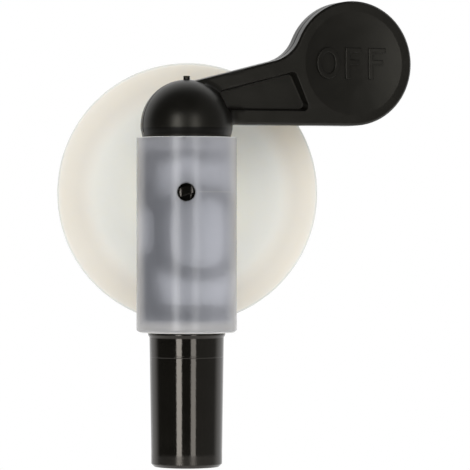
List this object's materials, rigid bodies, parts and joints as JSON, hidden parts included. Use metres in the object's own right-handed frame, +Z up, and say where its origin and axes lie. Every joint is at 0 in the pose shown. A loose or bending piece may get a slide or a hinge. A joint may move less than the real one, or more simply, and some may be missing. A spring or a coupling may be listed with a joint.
{
  "type": "container drain tap",
  "caption": "Quarter-turn drain tap: black lever plug with a spout, turning in a translucent barrel on a round flange with a hollow threaded inlet.",
  "frame": {"origin": "centre of the inlet thread, in the plane where the gasket meets the container", "axes": "+Z up along the barrel, +Y into the container along the inlet, -Y towards the user"},
  "size_m": [0.0865, 0.0508, 0.1119],
  "materials": {
    "natural_plastic": "translucent natural polyethylene, satin",
    "black_plastic": "black polyethylene, glossy spout, satin lever",
    "white_rubber": "smooth white rubber"
  },
  "bodies": {
    "body": {"tap_body": "natural_plastic", "flange_gasket": "white_rubber"},
    "plug": {"lever_plug": "black_plastic"}
  },
  "joints": [
    {"name": "lever_turn", "type": "hinge", "parent": "body", "child": "plug", "pos_m": [0, -0.0258, 0], "axis": [0, 0, 1], "range_deg": [-229, 10]}
  ]
}
